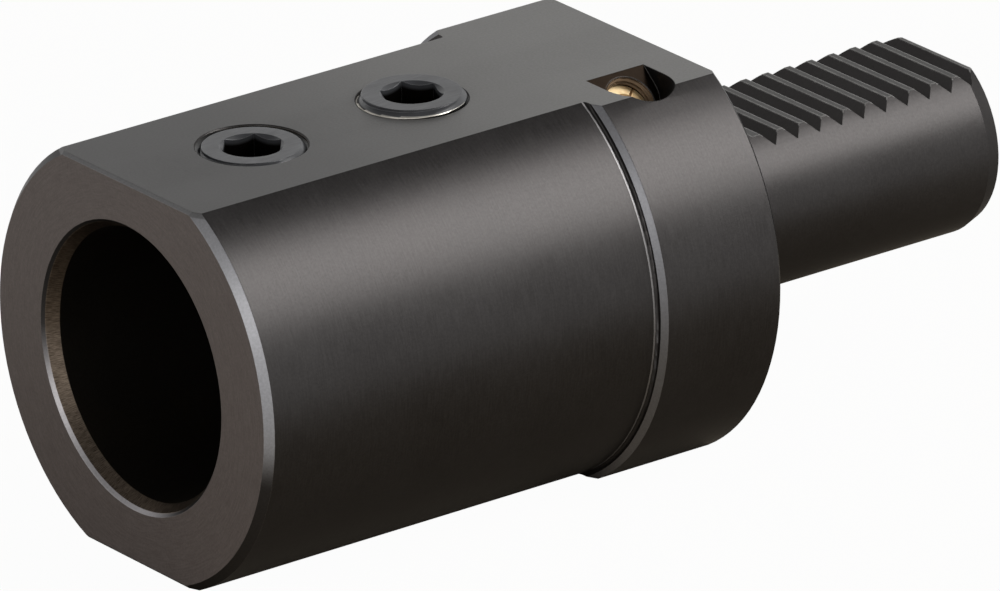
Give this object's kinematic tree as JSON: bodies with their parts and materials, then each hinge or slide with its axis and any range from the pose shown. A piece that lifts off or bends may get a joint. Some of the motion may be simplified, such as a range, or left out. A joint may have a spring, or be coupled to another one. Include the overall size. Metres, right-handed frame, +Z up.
{
  "type": "turret tool holder",
  "caption": "Turret tool holder with a toothed round shank, a flange, a flatted cylindrical head with a clamped tool bore, and a swivelling coolant nozzle.",
  "frame": {"origin": "centre of the flange's contact face, on the shank axis", "axes": "+X along the shank and bore axis towards the mouth of the tool bore, +Z up through the clamp screws, so the coolant nozzle is on the +Y side"},
  "size_m": [0.144, 0.068, 0.0585],
  "materials": {
    "blackened_steel": "black oxide over turned and ground steel, bright on worn edges",
    "screw_steel": "dark oiled alloy steel",
    "brass": "turned brass",
    "seat_plastic": "white seat plastic",
    "seal_rubber": "black seal rubber"
  },
  "bodies": {
    "holder": {"holder_body": "blackened_steel", "nozzle_ring": "brass", "shank_seal": "seal_rubber", "shank_end_plug": "screw_steel", "plug_seal": "seal_rubber"},
    "front_pad": {"front_clamp_pad": "brass"},
    "front_screw": {"front_clamp_screw": "screw_steel"},
    "rear_pad": {"rear_clamp_pad": "brass"},
    "rear_screw": {"rear_clamp_screw": "screw_steel"},
    "nozzle_seat": {"nozzle_seat": "seat_plastic"},
    "nozzle_ball": {"nozzle_ball": "brass"}
  },
  "joints": [
    {"name": "front_screw_travel", "type": "slide", "parent": "holder", "child": "front_pad", "axis": [0, 0, -1], "range_m": [-0.0031, 0.0021]},
    {"name": "front_screw_turn", "type": "hinge", "parent": "front_pad", "child": "front_screw", "pos_m": [0.06715, 0, 0.028], "axis": [0, 0, -1], "range_deg": [-720, 480]},
    {"name": "rear_screw_travel", "type": "slide", "parent": "holder", "child": "rear_pad", "axis": [0, 0, -1], "range_m": [-0.0031, 0.0031]},
    {"name": "rear_screw_turn", "type": "hinge", "parent": "rear_pad", "child": "rear_screw", "pos_m": [0.03915, 0, 0.029], "axis": [0, 0, -1], "range_deg": [-720, 720]},
    {"name": "nozzle_turn", "type": "hinge", "parent": "holder", "child": "nozzle_seat", "pos_m": [0.01105, 0.01105, 0.02179], "axis": [0, 0.6428, 0.766], "continuous": true},
    {"name": "nozzle_tilt", "type": "hinge", "parent": "nozzle_seat", "child": "nozzle_ball", "pos_m": [0.01105, 0.01105, 0.02179], "axis": [0, 0.766, -0.6428], "range_deg": [-18, 18]}
  ],
  "couplings": [
    {"joint": "front_screw_travel", "follows": "front_screw_turn", "m_per_rad": 0.00023873},
    {"joint": "rear_screw_travel", "follows": "rear_screw_turn", "m_per_rad": 0.00023873}
  ]
}
